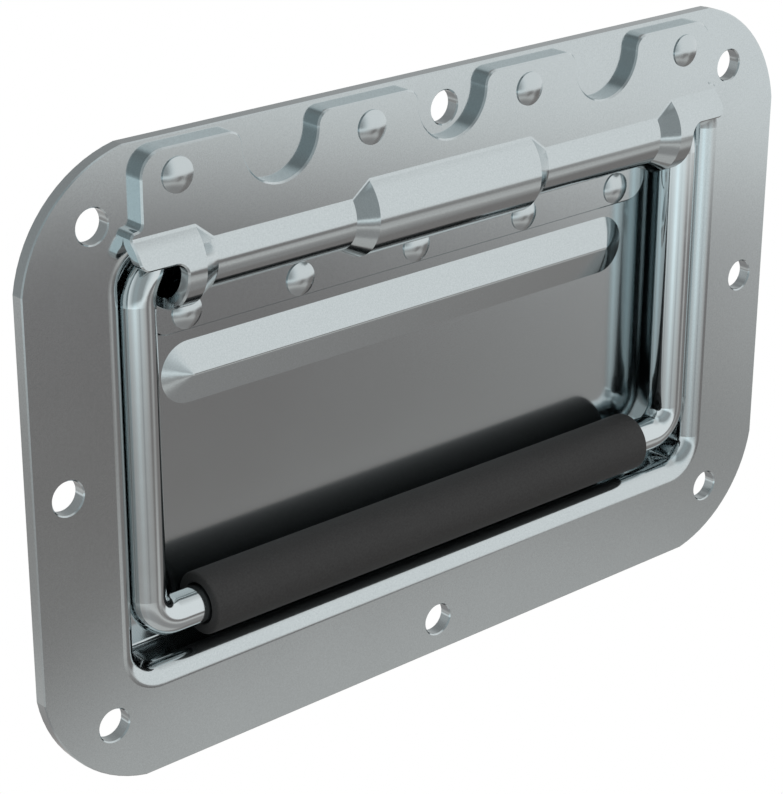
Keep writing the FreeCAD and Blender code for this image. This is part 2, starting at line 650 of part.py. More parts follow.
def rivet_head(outline):
    """From the top of the shank out under the head, up its edge and over its dome to the middle."""
    radius = sheet.rivet_head_radius
    dome = sheet.rivet_head_dome
    edge = sheet.rivet_head_edge
    dome_radius = (radius ** 2 + dome ** 2) / (2 * dome)
    outline.line(radius, 0)
    outline.line(radius, -edge)
    outline.arc((0, dome_radius - edge - dome), 0, -edge - dome, clockwise=True)


def upper_rivet_section():
    """Half section: domed head on the plate, shank, and a tail flush in the flange's back."""
    depth = sheet.cover_sheet + sheet.sheet
    shank = sheet.rivet_shank_radius
    outline = Outline(0, depth)
    outline.line(shank + sheet.rivet_sink, depth)
    outline.line(shank, depth - sheet.rivet_sink)
    outline.line(shank, 0)
    rivet_head(outline)
    outline.line(0, depth)
    return outline.edges


def lower_rivet_section():
    """Half section: domed head on the lower flange, shank, and a tail behind the pan floor."""
    depth = sheet.cover_sheet + sheet.sheet
    shank = sheet.rivet_shank_radius
    tail = depth + sheet.rivet_tail_height
    outline = Outline(0, tail)
    outline.line(sheet.rivet_tail_radius, tail)
    outline.line(sheet.rivet_tail_radius, depth)
    outline.line(shank, depth)
    outline.line(shank, 0)
    rivet_head(outline)
    outline.line(0, tail)
    return outline.edges


def make_rivets(word, places, section, front):
    """A row of turned rivets with their heads on the face at this depth."""
    for number, (across, up) in enumerate(places, start=1):
        body = new_body(f"{word}_rivet_{number}")
        half = new_sketch(body, "XY_Plane", f"{word}_rivet_{number}_section", section)
        new_feature(
            body, "Revolution", f"{word}_rivet_{number}_turned", half,
            ReferenceAxis=(half, ["V_Axis"]), Angle=360)
        body.setExpression("Placement.Base.x", across)
        body.setExpression("Placement.Base.y", front)
        body.setExpression("Placement.Base.z", up)


def make_springs():
    """Two torsion springs of square wire, mirror images, wound round the bail's hinge ends.

    A straight leg stands through the rod's cross hole; the other lies along the bottom of the
    barrel towards the pan floor.
    """
    coil = doc.addObject("Part::Helix", "spring_line")
    coil.setExpression("Pitch", "Sizes.spring_pitch")
    coil.setExpression("Height", "Sizes.spring_pitch * Sizes.spring_turns")
    coil.setExpression("Radius", "Worked.spring_radius")
    square = doc.addObject("Part::RegularPolygon", "spring_wire_square")
    square.Polygon = 4
    square.setExpression("Circumradius", "Worked.spring_wire_corner")
    square.Placement = Placement(Vector(), Rotation(Vector(1, 0, 0), 90) * Rotation(NORMAL, 45))
    square.setExpression("Placement.Base.x", "Worked.spring_radius")
    doc.recompute()
    wire = doc.addObject("Part::Sweep", "spring_coil")
    wire.Sections = [square]
    wire.Spine = (coil, [f"Edge{number}" for number in range(1, len(coil.Shape.Edges) + 1)])
    wire.Solid = True
    wire.Frenet = True

    inner_leg = spring_leg("spring_inner_leg", "0")
    inner_leg.setExpression(
        "Length", "Sizes.rod_radius + Worked.spring_radius + Sizes.spring_wire_half")
    inner_leg.setExpression("Width", "2 * Sizes.spring_wire_half")
    inner_leg.setExpression("Placement.Base.x", "-Sizes.rod_radius")
    outer_leg = spring_leg("spring_outer_leg", "Sizes.spring_pitch * Sizes.spring_turns")
    outer_leg.setExpression("Length", "2 * Sizes.spring_wire_half")
    outer_leg.setExpression(
        "Width", "Sizes.spring_wire_half + Worked.floor_front_y - Worked.bead_y - Sizes.spring_gap")
    outer_leg.setExpression("Placement.Base.x", "Worked.spring_radius - Sizes.spring_wire_half")
    doc.recompute()

    right = doc.addObject("Part::MultiFuse", "return_spring_right")
    right.Shapes = [wire, inner_leg, outer_leg]
    right.Label = "return_spring_right"
    right.Placement = Placement(Vector(), Rotation(Vector(0, 1, 0), 90))
    right.setExpression("Placement.Base.x", "Sizes.spring_start")
    right.setExpression("Placement.Base.y", "Worked.bead_y")
    right.setExpression("Placement.Base.z", "Worked.pivot_z")
    left = doc.addObject("Part::Mirroring", "return_spring_left")
    left.Source = right
    left.Normal = Vector(1, 0, 0)
    left.Label = "return_spring_left"
    doc.recompute()
    subparts.extend([right, left])


def spring_leg(name, along):
    """A bar as thick as the wire, its middle this far along the coil and its start beside the line."""
    leg = doc.addObject("Part::Box", name)
    leg.setExpression("Height", "2 * Sizes.spring_wire_half")
    leg.setExpression("Placement.Base.y", "-Sizes.spring_wire_half")
    leg.setExpression("Placement.Base.z", f"{along} - Sizes.spring_wire_half")
    return leg


def check_and_export():
    """Stop on any failed object, then write one file per sub-part."""
    doc.recompute()
    for item in doc.Objects:
        if "Invalid" in item.State or "Error" in item.State:
            raise RuntimeError(f"{item.Name} failed: {item.State}")
    os.makedirs("parts", exist_ok=True)
    for item in subparts:
        shape = item.Shape
        if shape.isNull() or not shape.isValid() or len(shape.Solids) != 1:
            raise RuntimeError(f"{item.Label} is not one valid solid")
    for item in subparts:
        item.Shape.exportStep(f"parts/{item.Label}.step")
        print(item.Label, round(item.Shape.Volume, 1))


make_recess_dish()
make_cover_plate()
make_handle_bail()
make_grip_sleeve()
make_rivets("upper", upper_rivet_places(), upper_rivet_section(), "Worked.cover_front_y")
make_rivets("lower", lower_rivet_places(), lower_rivet_section(), "Worked.lower_flange_front_y")
make_springs()
check_and_export()
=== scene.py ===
"""Finishes, grip, rivets and studio of a recessed chest handle, round its CAD frame."""

import math

import bmesh
import bpy
from mathutils import Matrix, Vector


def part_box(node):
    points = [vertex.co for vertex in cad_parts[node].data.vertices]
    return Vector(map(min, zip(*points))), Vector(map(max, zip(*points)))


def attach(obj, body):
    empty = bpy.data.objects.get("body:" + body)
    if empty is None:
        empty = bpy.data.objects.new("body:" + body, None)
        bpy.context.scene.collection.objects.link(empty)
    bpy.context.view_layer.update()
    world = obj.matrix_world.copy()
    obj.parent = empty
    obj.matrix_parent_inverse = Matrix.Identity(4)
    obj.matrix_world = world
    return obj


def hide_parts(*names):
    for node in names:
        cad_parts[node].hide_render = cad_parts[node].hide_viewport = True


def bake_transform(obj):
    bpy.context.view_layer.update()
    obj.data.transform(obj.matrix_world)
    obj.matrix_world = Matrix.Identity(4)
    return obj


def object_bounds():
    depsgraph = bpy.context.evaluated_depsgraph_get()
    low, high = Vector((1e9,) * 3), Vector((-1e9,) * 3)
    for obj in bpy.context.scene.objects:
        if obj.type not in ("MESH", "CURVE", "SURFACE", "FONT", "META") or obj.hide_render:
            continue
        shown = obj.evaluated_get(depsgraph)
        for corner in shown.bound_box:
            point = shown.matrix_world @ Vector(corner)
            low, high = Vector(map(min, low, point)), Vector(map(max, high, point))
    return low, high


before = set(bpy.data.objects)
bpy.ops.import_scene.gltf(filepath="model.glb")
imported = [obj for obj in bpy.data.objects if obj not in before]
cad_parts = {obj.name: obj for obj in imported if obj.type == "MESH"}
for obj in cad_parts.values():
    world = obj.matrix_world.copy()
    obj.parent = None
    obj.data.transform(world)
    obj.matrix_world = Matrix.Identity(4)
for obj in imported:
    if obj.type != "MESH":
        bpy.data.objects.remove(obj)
CAD_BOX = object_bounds()

bl_info = {
    "name": "Recessed chest handle",
    "version": (1, 0, 0),
    "blender": (4, 5, 0),
    "location": "3D View > Sidebar > Handle",
    "description": "Plated finishes, rubber grip, rivets and studio for the handle",
    "category": "Object",
}

MM = 0.001

PRESSED_STEEL_NODES = ("recess_dish", "cover_plate")
SPRING_NODES = ("return_spring_left", "return_spring_right")
NODE_NAMES = sorted(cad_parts)
UPPER_RIVET_NODES = tuple(n for n in NODE_NAMES if n.startswith("upper_rivet_"))
LOWER_RIVET_NODES = tuple(n for n in NODE_NAMES if n.startswith("lower_rivet_"))

grip_low, grip_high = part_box("grip_sleeve")
GRIP_LENGTH = grip_high.x - grip_low.x
GRIP_DIAMETER = grip_high.z - grip_low.z

GRIP_SIDES = 96
GRIP_SPANS = 24
GRIP_EDGE_STEPS = 8

# Points closer than this are one point.
SAME_POINT = 0.001 * MM
# Edges that turn by more than this stay sharp.
RIVET_CORNER = math.radians(30.0)
SPRING_CORNER = math.radians(35.0)

# The real grain of the plating is finer. It is drawn this large so that it shows.
PLATING_GRAIN = 0.28 * MM
PLATING_CLOUDS = 25 * MM
ROD_MARKS = 3 * MM
# The mould's texture, drawn coarser than most rubber's so that it shows.
RUBBER_PEBBLE = 0.4 * MM
RUBBER_PATCHES = 14 * MM

# How rough the plating is where it is smoothest.
SHEET_ROUGHNESS = 0.11
ROD_ROUGHNESS = 0.07
WIRE_ROUGHNESS = 0.2
RIVET_ROUGHNESS = 0.14

# Most of a noise texture's value lies between these.
NOISE_LOW, NOISE_HIGH = 0.3, 0.7

# Inputs and the output of a Mix node that mixes colours.
MIX_SHARE, MIX_FIRST, MIX_SECOND, MIX_RESULT = 0, 6, 7, 2

FLOOR_COLOUR = "#EDEDEB"
FLOOR_SIDES = 64
LAMP_DISTANCE = 0.9
# Name, azimuth from the front, height, power and width of each soft lamp.
SOFT_LAMPS = (
    ("key_softbox", -60.0, 50.0, 4.0, 0.5),
    ("fill_softbox", 45.0, 20.0, 1.5, 0.6),
)

# The camera's place and its turn were fitted to the photograph's holes and edges.
CAMERA_PLACE = Vector((-0.31138, -0.34056, 0.18724))
CAMERA_AZIMUTH = -41.41
CAMERA_HEIGHT = 22.71
CAMERA_ROLL = 0.24
CAMERA_LENS = 110.86
CAMERA_SENSOR = 36.0
CAMERA_NEAR = 0.01


# ---------------------------------------------------------------- settings

def colour_property(name, description, hex_colour):
    """A colour setting whose default is an sRGB hex value."""
    return bpy.props.FloatVectorProperty(
        name=name,
        description=description,
        subtype="COLOR",
        size=3,
        min=0.0,
        max=1.0,
        default=linear(hex_colour),
    )


def length_property(name, description, default):
    """A length setting in metres."""
    return bpy.props.FloatProperty(
        name=name,
        description=description,
        default=default,
        min=0.0,
        precision=5,
        subtype="DISTANCE",
        unit="LENGTH",
    )


def linear(hex_colour):
    """An sRGB hex colour as linear red, green and blue."""
    channels = [int(hex_colour[i : i + 2], 16) / 255 for i in (1, 3, 5)]
    return tuple(
        c / 12.92 if c <= 0.04045 else ((c + 0.055) / 1.055) ** 2.4 for c in channels
    )


class HandleFinishes(bpy.types.PropertyGroup):
    """Colours of the handle's surfaces."""

    sheet_colour: colour_property(
        "Pressed steel", "Zinc plating on the dish and the cover plate", "#C1C9CB"
    )
    rod_colour: colour_property(
        "Bail rod", "Bright zinc plating on the drawn rod", "#CBD3D5"
    )
    rivet_colour: colour_property(
        "Rivets", "Zinc plating on the rivets", "#C1C9CB"
    )
    spring_colour: colour_property(
        "Springs", "Zinc plating on the spring wire", "#B4BABB"
    )
    grip_colour: colour_property("Grip", "Charcoal rubber of the grip", "#2B2B2B")


class GripSizes(bpy.types.PropertyGroup):
    """Sizes of the rubber grip sleeve."""

    length: length_property("Length", "Length along the rod", GRIP_LENGTH)
    diameter: length_property("Diameter", "Outer diameter", GRIP_DIAMETER)
    bore: length_property("Bore", "Diameter of the hole for the rod", 8.4 * MM)
    end_round: length_property("End rounding", "Radius of the outer end edge", 0.5 * MM)
    bore_round: length_property("Bore rounding", "Radius of the bore's edge", 0.3 * MM)


class RivetSizes(bpy.types.PropertyGroup):
    """Sizes of the rivets."""

    rim_height: length_property("Rim", "Height of the head's upright edge", 0.25 * MM)
    dome_height: length_property("Dome", "Height of the dome above the rim", 0.8 * MM)
    shank_radius: length_property("Shank", "Radius of the shank", 2.0 * MM)
    upper_grip: length_property("Upper grip", "Depth under an upper head", 5.1 * MM)
    sink: length_property("Sink", "Depth of the upper rivets' sunk tails", 0.8 * MM)
    lower_grip: length_property("Lower grip", "Depth under a lower head", 5.1 * MM)
    tail_radius: length_property("Tail", "Radius of a lower rivet's tail", 3.0 * MM)
    tail_height: length_property(
        "Tail height", "Height of a lower rivet's tail", 1.2 * MM
    )
    rings: bpy.props.IntProperty(
        name="Rings", description="Rings of faces across the dome", default=10, min=3
    )
    sides: bpy.props.IntProperty(
        name="Sides", description="Faces round the head", default=48, min=12
    )


class SpringSizes(bpy.types.PropertyGroup):
    """Sizes of the return springs."""

    wire: length_property("Wire", "Width of the square wire", 1.4 * MM)
    leg_room: length_property(
        "Leg room", "Coil that stays with the inner leg", 0.2 * MM
    )


class StudioSizes(bpy.types.PropertyGroup):
    """Sizes of the studio round the handle."""

    floor_drop: length_property("Floor", "Depth of the floor below the handle", 0.42)
    floor_radius: length_property("Floor radius", "Radius of the floor", 1.6)


# --------------------------------------------------------------- materials

def add_node(tree, kind, settings=None, links=None):
    """Adds a node, sets its properties and sockets, and links the sockets named."""
    node = tree.nodes.new(kind)
    for key, value in (settings or {}).items():
        if isinstance(key, str) and hasattr(node, key) and key not in node.inputs:
            setattr(node, key, value)
        else:
            node.inputs[key].default_value = value
    for key, socket in (links or {}).items():
        tree.links.new(socket, node.inputs[key])
    return node


def new_material(name):
    """A material with an empty node tree and its output node."""
    material = bpy.data.materials.new(name)
    material.use_nodes = True
    material.node_tree.nodes.clear()
    output = add_node(material.node_tree, "ShaderNodeOutputMaterial")
    return material, material.node_tree, output


def sockets_and_values(inputs):
    """The sockets among a node's inputs, and the plain values."""
    sockets = {k: v for k, v in inputs.items() if isinstance(v, bpy.types.NodeSocket)}
    values = {k: v for k, v in inputs.items() if k not in sockets}
    return sockets, values


def calculate(tree, operation, *inputs):
    """A math node's result from sockets and numbers."""
    sockets, numbers = sockets_and_values(dict(enumerate(inputs)))
    settings = {"operation": operation, **numbers}
    return add_node(tree, "ShaderNodeMath", settings, sockets).outputs[0]


def noise(tree, place, size, detail, roughness):
    """A noise texture's value, in patches of about this size."""
    return add_node(
        tree,
        "ShaderNodeTexNoise",
        {"Scale": 1 / size, "Detail": detail, "Roughness": roughness},
        {"Vector": place},
    ).outputs["Fac"]


def stretched(tree, value, low, high):
    """A noise value stretched to run from one number to another."""
    return add_node(
        tree,
        "ShaderNodeMapRange",
        {"From Min": NOISE_LOW, "From Max": NOISE_HIGH, "To Min": low, "To Max": high},
        {"Value": value},
    ).outputs["Result"]


def two_tones(tree, colour, value, first, second):
    """A colour that goes from one share of itself to another with a noise value."""
    return add_node(
        tree,
        "ShaderNodeMix",
        {
            "data_type": "RGBA",
            MIX_FIRST: (*[c * first for c in colour], 1.0),
            MIX_SECOND: (*[c * second for c in colour], 1.0),
        },
        {MIX_SHARE: value},
    ).outputs[MIX_RESULT]


def scaled(tree, colour, value):
    """A colour times a value."""
    return add_node(
        tree,
        "ShaderNodeVectorMath",
        {"operation": "SCALE"},
        {0: colour, "Scale": value},
    ).outputs[0]


def bumped(tree, height, strength, depth):
    """A normal that takes a noise value as its height."""
    return add_node(
        tree,
        "ShaderNodeBump",
        {"Strength": strength, "Distance": depth},
        {"Height": height},
    ).outputs["Normal"]


def shade(tree, output, settings, links):
    """Ends a material with a Principled shader."""
    shader = add_node(tree, "ShaderNodeBsdfPrincipled", settings, links)
    tree.links.new(shader.outputs["BSDF"], output.inputs["Surface"])


def zinc_plated_sheet(name, colour):
    """Bright zinc plating over cold-rolled and pressed steel sheet.

    The plating is a smooth, slightly bluish mirror, softened by the grain of the
    rolled sheet, so reflections keep their shape with blurred edges and a faint
    sparkle of grain shows where light grazes it.
    """
    material, tree, output = new_material(name)
    place = add_node(tree, "ShaderNodeTexCoord").outputs["Object"]
    grain = noise(tree, place, PLATING_GRAIN, 2.0, 0.6)
    clouds = noise(tree, place, PLATING_CLOUDS, 4.0, 0.55)
    cloudy = two_tones(tree, colour, clouds, 1.015, 0.985)
    sparkle = stretched(tree, grain, 0.95, 1.05)
    haze = stretched(tree, clouds, SHEET_ROUGHNESS, SHEET_ROUGHNESS + 0.02)
    shade(
        tree,
        output,
        {"Metallic": 1.0},
        {
            "Base Color": scaled(tree, cloudy, sparkle),
            "Roughness": haze,
            "Normal": bumped(tree, grain, 0.05, 0.005 * MM),
        },
    )
    return material


def zinc_plated_rod(name, colour, roughness):
    """Bright zinc plating over drawn steel rod or wire.

    Drawing leaves the surface smoother than the sheet's, so the bail shows crisp
    long highlights, which faint marks from handling make a little uneven.
    """
    material, tree, output = new_material(name)
    place = add_node(tree, "ShaderNodeTexCoord").outputs["Object"]
    marks = noise(tree, place, ROD_MARKS, 5.0, 0.6)
    shade(
        tree,
        output,
        {"Metallic": 1.0, "Base Color": (*colour, 1.0)},
        {
            "Roughness": stretched(tree, marks, roughness, roughness + 0.05),
            "Normal": bumped(tree, marks, 0.1, 0.01 * MM),
        },
    )
    return material


def moulded_rubber(name, colour):
    """Black moulded rubber (about Shore A 70) with a fine matt mould texture.

    It gives the eye a dark charcoal without shine: a soft broad light along the
    top, slightly greyer where hands rub it, and a faint pebble in the surface.
    """
    material, tree, output = new_material(name)
    place = add_node(tree, "ShaderNodeTexCoord").outputs["Object"]
    pebble = noise(tree, place, RUBBER_PEBBLE, 2.0, 0.5)
    rubbed = noise(tree, place, RUBBER_PATCHES, 3.0, 0.5)
    patchy = two_tones(tree, colour, rubbed, 0.93, 1.07)
    speckle = stretched(tree, pebble, 0.82, 1.18)
    shade(
        tree,
        output,
        {"Roughness": 0.65, "IOR": 1.5, "Specular IOR Level": 0.3},
        {
            "Base Color": scaled(tree, patchy, speckle),
            "Normal": bumped(tree, pebble, 0.25, 0.03 * MM),
        },
    )
    return material


def give(node_names, material):
    """Puts a material in the slots of these CAD nodes."""
    for name in node_names:
        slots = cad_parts[name].material_slots
        if not slots:
            raise RuntimeError(f"{name} has no material slot")
        for slot in slots:
            slot.link = "OBJECT"
            slot.material = material


def new_piece(name, mesh):
    """A new object with this mesh, at the origin."""
    piece = bpy.data.objects.new(name, mesh)
    bpy.context.scene.collection.objects.link(piece)
    return piece


# --------------------------------------------------------------- operators

class HANDLE_OT_pressed_steel(bpy.types.Operator):
    """Plates the pressed dish and the cover plate"""

    bl_idname = "handle.pressed_steel"
    bl_label = "Plate the pressed steel"

    def execute(self, context):
        colours = context.scene.handle_finishes
        material = zinc_plated_sheet("zinc_plated_sheet", colours.sheet_colour)
        give(PRESSED_STEEL_NODES, material)
        return {"FINISHED"}


class HANDLE_OT_bail(bpy.types.Operator):
    """Plates the bail rod"""

    bl_idname = "handle.bail"
    bl_label = "Plate the bail"

    def execute(self, context):
        colours = context.scene.handle_finishes
        material = zinc_plated_rod("zinc_plated_rod", colours.rod_colour, ROD_ROUGHNESS)
        give(["handle_bail"], material)
        return {"FINISHED"}


class HANDLE_OT_springs(bpy.types.Operator):
    """Plates the two return springs, copied from their CAD meshes"""

    bl_idname = "handle.springs"
    bl_label = "Wind the springs"

    def execute(self, context):
        colours = context.scene.handle_finishes
        material = zinc_plated_rod(
            "zinc_plated_wire", colours.spring_colour, WIRE_ROUGHNESS
        )
        for node_name in SPRING_NODES:
            mesh = merged_copy(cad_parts[node_name].data, node_name)
            mesh.materials.append(material)
            spring = new_piece(node_name.replace("return", "wound"), mesh)
            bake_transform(spring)
            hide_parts(node_name)
        return {"FINISHED"}


def merged_copy(cad_mesh, name):
    """A copy of a CAD mesh with its triangles joined and its corners kept sharp."""
    mesh = cad_mesh.copy()
    mesh.name = name
    mesh.materials.clear()
    shell = bmesh.new()
    shell.from_mesh(mesh)
    bmesh.ops.remove_doubles(shell, verts=shell.verts, dist=SAME_POINT)
    shell.to_mesh(mesh)
    shell.free()
    normals = mesh.attributes.get("custom_normal")
    if normals:
        mesh.attributes.remove(normals)
    mesh.shade_smooth()
    mesh.set_sharp_from_angle(angle=SPRING_CORNER)
    return mesh


class HANDLE_OT_grip(bpy.types.Operator):
    """Moulds the rubber grip sleeve on the bail"""

    bl_idname = "handle.grip"
    bl_label = "Mould the grip"

    def execute(self, context):
        sizes = context.scene.handle_grip
        centre = (grip_low + grip_high) / 2
        profile = grip_profile(sizes)
        points = []
        for along, radius in profile:
            for side in range(GRIP_SIDES):
                turn = 2 * math.pi * side / GRIP_SIDES
                points.append(
                    (
                        centre.x + along,
                        centre.y + radius * math.cos(turn),
                        centre.z + radius * math.sin(turn),
                    )
                )
        faces = []
        rings = len(profile)
        for ring in range(rings):
            here, there = ring * GRIP_SIDES, (ring + 1) % rings * GRIP_SIDES
            for side in range(GRIP_SIDES):
                beside = (side + 1) % GRIP_SIDES
                faces.append((here + side, here + beside, there + beside, there + side))
        mesh = bpy.data.meshes.new("rubber_grip")
        mesh.from_pydata(points, [], faces)
        mesh.validate()
        mesh.shade_smooth()
        colours = context.scene.handle_finishes
        mesh.materials.append(moulded_rubber("moulded_rubber", colours.grip_colour))
        grip = new_piece("rubber_grip", mesh)
        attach(grip, "handle")
        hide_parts("grip_sleeve")
        return {"FINISHED"}


def grip_profile(sizes):
    """The sleeve's closed outline as (distance along, radius) points, outside first."""
    half, outer, bore = sizes.length / 2, sizes.diameter / 2, sizes.bore / 2
    outer_edge, bore_edge = sizes.end_round, sizes.bore_round

    def edge(along, radius, size, first):
        """A rounded edge's points, a quarter turn clockwise from its first angle."""
        turns = [first - 90 * i / GRIP_EDGE_STEPS for i in range(GRIP_EDGE_STEPS + 1)]
        return [
            (
                along + size * math.cos(math.radians(turn)),
                radius + size * math.sin(math.radians(turn)),
            )
            for turn in turns
        ]

    start, end = outer_edge - half, half - outer_edge
    outside = [
        (start + (end - start) * i / GRIP_SPANS, outer) for i in range(1, GRIP_SPANS)
    ]
    return (
        edge(start, outer - outer_edge, outer_edge, 180)
        + outside
        + edge(end, outer - outer_edge, outer_edge, 90)
        + edge(half - bore_edge, bore + bore_edge, bore_edge, 0)
        + edge(bore_edge - half, bore + bore_edge, bore_edge, -90)
    )


class HANDLE_OT_rivets(bpy.types.Operator):
    """Sets the two rows of domed rivets that hold the cover plate"""

    bl_idname = "handle.rivets"
    bl_label = "Set the rivets"

    def execute(self, context):
        sizes = context.scene.handle_rivets
        colours = context.scene.handle_finishes
        material = zinc_plated_rod(
            "zinc_plated_rivet", colours.rivet_colour, RIVET_ROUGHNESS
        )
        tree = rivet_tree(material)
        upper = {
            "Shank length": sizes.upper_grip - sizes.sink,
            "Tail start": sizes.upper_grip,
            "Tail end": sizes.upper_grip,
            "Tail radius": sizes.shank_radius + sizes.sink,
        }
        lower = {
            "Shank length": sizes.lower_grip,
            "Tail start": sizes.lower_grip,
            "Tail end": sizes.lower_grip + sizes.tail_height,
            "Tail radius": sizes.tail_radius,
        }
        rivet_row("upper_rivets", UPPER_RIVET_NODES, tree, sizes, upper)
        rivet_row("lower_rivets", LOWER_RIVET_NODES, tree, sizes, lower)
        return {"FINISHED"}


def rivet_row(name, node_names, tree, sizes, tail):
    """One row of rivets as a plain mesh that stands in for its CAD nodes."""
    head_height = sizes.rim_height + sizes.dome_height
    boxes = [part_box(node_name) for node_name in node_names]
    places = bpy.data.meshes.new(f"{name}_places")
    seats = [
        ((a.x + b.x) / 2, a.y + head_height, (a.z + b.z) / 2) for a, b in boxes
    ]
    places.from_pydata(seats, [], [])
    row = new_piece(name, places)
    low, high = boxes[0]
    values = {
        "Head radius": (high.x - low.x) / 2,
        "Rim height": sizes.rim_height,
        "Dome height": sizes.dome_height,
        "Shank radius": sizes.shank_radius,
        "Rings": sizes.rings,
        "Sides": sizes.sides,
        **tail,
    }
    modifier = row.modifiers.new("rivets", "NODES")
    modifier.node_group = tree
    for item in tree.interface.items_tree:
        if item.name in values:
            modifier[item.identifier] = values[item.name]
    evaluated = row.evaluated_get(bpy.context.evaluated_depsgraph_get())
    mesh = bpy.data.meshes.new_from_object(evaluated)
    mesh.name = name
    row.modifiers.clear()
    row.data = mesh
    bpy.data.meshes.remove(places)
    if len(mesh.polygons) == 0:
        raise RuntimeError(f"the rivet tree made no faces for {name}")
    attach(row, "plate")
    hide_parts(*node_names)


def rivet_tree(material):
    """Geometry nodes that turn each point into a whole rivet facing forwards.

    A grid's rows become the rings of a turned outline, from the middle of the dome
    over the rim, the head's underside and the shank to the middle of the tail.
    """
    tree = bpy.data.node_groups.new("rivets", "GeometryNodeTree")
    face = tree.interface
    face.new_socket("Geometry", in_out="INPUT", socket_type="NodeSocketGeometry")
    for name in (
        "Head radius", "Rim height", "Dome height", "Shank radius",
        "Shank length", "Tail start", "Tail end", "Tail radius",
    ):
        face.new_socket(name, in_out="INPUT", socket_type="NodeSocketFloat")
    for name in ("Rings", "Sides"):
        face.new_socket(name, in_out="INPUT", socket_type="NodeSocketInt")
    face.new_socket("Geometry", in_out="OUTPUT", socket_type="NodeSocketGeometry")
    given = add_node(tree, "NodeGroupInput").outputs
    made = add_node(tree, "NodeGroupOutput")

    def maths(operation, *inputs):
        return calculate(tree, operation, *inputs)

    # The dome's rings end at the rim, and the outline has this many points after it.
    outline_points = 6
    spokes = maths("ADD", given["Sides"], 1.0)
    grid = add_node(
        tree,
        "GeometryNodeMeshGrid",
        links={
            "Vertices X": maths("ADD", given["Rings"], outline_points + 1.0),
            "Vertices Y": spokes,
        },
    )
    index = add_node(tree, "GeometryNodeInputIndex").outputs[0]
    # The half guards a ring's first point against rounding.
    ring = maths("FLOOR", maths("DIVIDE", maths("ADD", index, 0.5), spokes))
    spoke = maths("SUBTRACT", index, maths("MULTIPLY", ring, spokes))
    share = maths("MINIMUM", maths("DIVIDE", ring, given["Rings"]), 1.0)
    dome_fall = maths("MULTIPLY", maths("MULTIPLY", share, share), given["Dome height"])
    head_top = maths("ADD", given["Rim height"], given["Dome height"])
    dome_radius = maths("MULTIPLY", share, given["Head radius"])
    # Radius and height of the dome's ring, then of each point after the rim.
    outline = (
        (dome_radius, maths("SUBTRACT", head_top, dome_fall)),
        (given["Head radius"], 0.0),
        (given["Shank radius"], 0.0),
        (given["Shank radius"], maths("MULTIPLY", given["Shank length"], -1.0)),
        (given["Tail radius"], maths("MULTIPLY", given["Tail start"], -1.0)),
        (given["Tail radius"], maths("MULTIPLY", given["Tail end"], -1.0)),
        (0.0, maths("MULTIPLY", given["Tail end"], -1.0)),
    )
    step = maths("MAXIMUM", maths("SUBTRACT", ring, given["Rings"]), 0.0)

    def chosen(column):
        """The outline's radius or height at this ring."""
        switch = tree.nodes.new("GeometryNodeIndexSwitch")
        switch.data_type = "FLOAT"
        while len(switch.index_switch_items) < len(outline):
            switch.index_switch_items.new()
        tree.links.new(step, switch.inputs["Index"])
        for number, point in enumerate(outline):
            if isinstance(point[column], bpy.types.NodeSocket):
                tree.links.new(point[column], switch.inputs[number + 1])
            else:
                switch.inputs[number + 1].default_value = point[column]
        return switch.outputs[0]

    radius, height = chosen(0), chosen(1)
    turn = maths("MULTIPLY", maths("DIVIDE", spoke, given["Sides"]), 2 * math.pi)
    spot = add_node(
        tree,
        "ShaderNodeCombineXYZ",
        links={
            "X": maths("MULTIPLY", radius, maths("COSINE", turn)),
            "Y": maths("MULTIPLY", height, -1.0),
            "Z": maths("MULTIPLY", radius, maths("SINE", turn)),
        },
    ).outputs[0]
    turned = add_node(
        tree,
        "GeometryNodeSetPosition",
        links={"Geometry": grid.outputs["Mesh"], "Position": spot},
    )
    closed = add_node(
        tree,
        "GeometryNodeMergeByDistance",
        {"Distance": SAME_POINT},
        {"Geometry": turned.outputs[0]},
    )
    smooth = add_node(
        tree,
        "GeometryNodeSetShadeSmooth",
        {"domain": "FACE", "Shade Smooth": True},
        {"Geometry": closed.outputs[0]},
    )
    corner = add_node(tree, "GeometryNodeInputMeshEdgeAngle").outputs["Unsigned Angle"]
    sharp = add_node(
        tree,
        "GeometryNodeSetShadeSmooth",
        {"domain": "EDGE", "Shade Smooth": False},
        {
            "Geometry": smooth.outputs[0],
            "Selection": maths("GREATER_THAN", corner, RIVET_CORNER),
        },
    )
    set_rivets = add_node(
        tree,
        "GeometryNodeInstanceOnPoints",
        links={"Points": given["Geometry"], "Instance": sharp.outputs[0]},
    )
    real = add_node(
        tree,
        "GeometryNodeRealizeInstances",
        links={"Geometry": set_rivets.outputs[0]},
    )
    plated = add_node(
        tree,
        "GeometryNodeSetMaterial",
        {"Material": material},
        {"Geometry": real.outputs[0]},
    )
    tree.links.new(plated.outputs[0], made.inputs[0])
    return tree


class HANDLE_OT_studio(bpy.types.Operator):
    """Sets the pale floor, the soft light and the camera"""

    bl_idname = "handle.studio"
    bl_label = "Set the studio"

    def execute(self, context):
        sizes = context.scene.handle_studio
        low, _ = CAD_BOX
        studio_floor(sizes.floor_radius, low.z - sizes.floor_drop)
        studio_world(context.scene)
        for lamp in SOFT_LAMPS:
            soft_lamp(*lamp)
        studio_camera(context.scene)
        context.scene.view_settings.view_transform = "Standard"
        return {"FINISHED"}


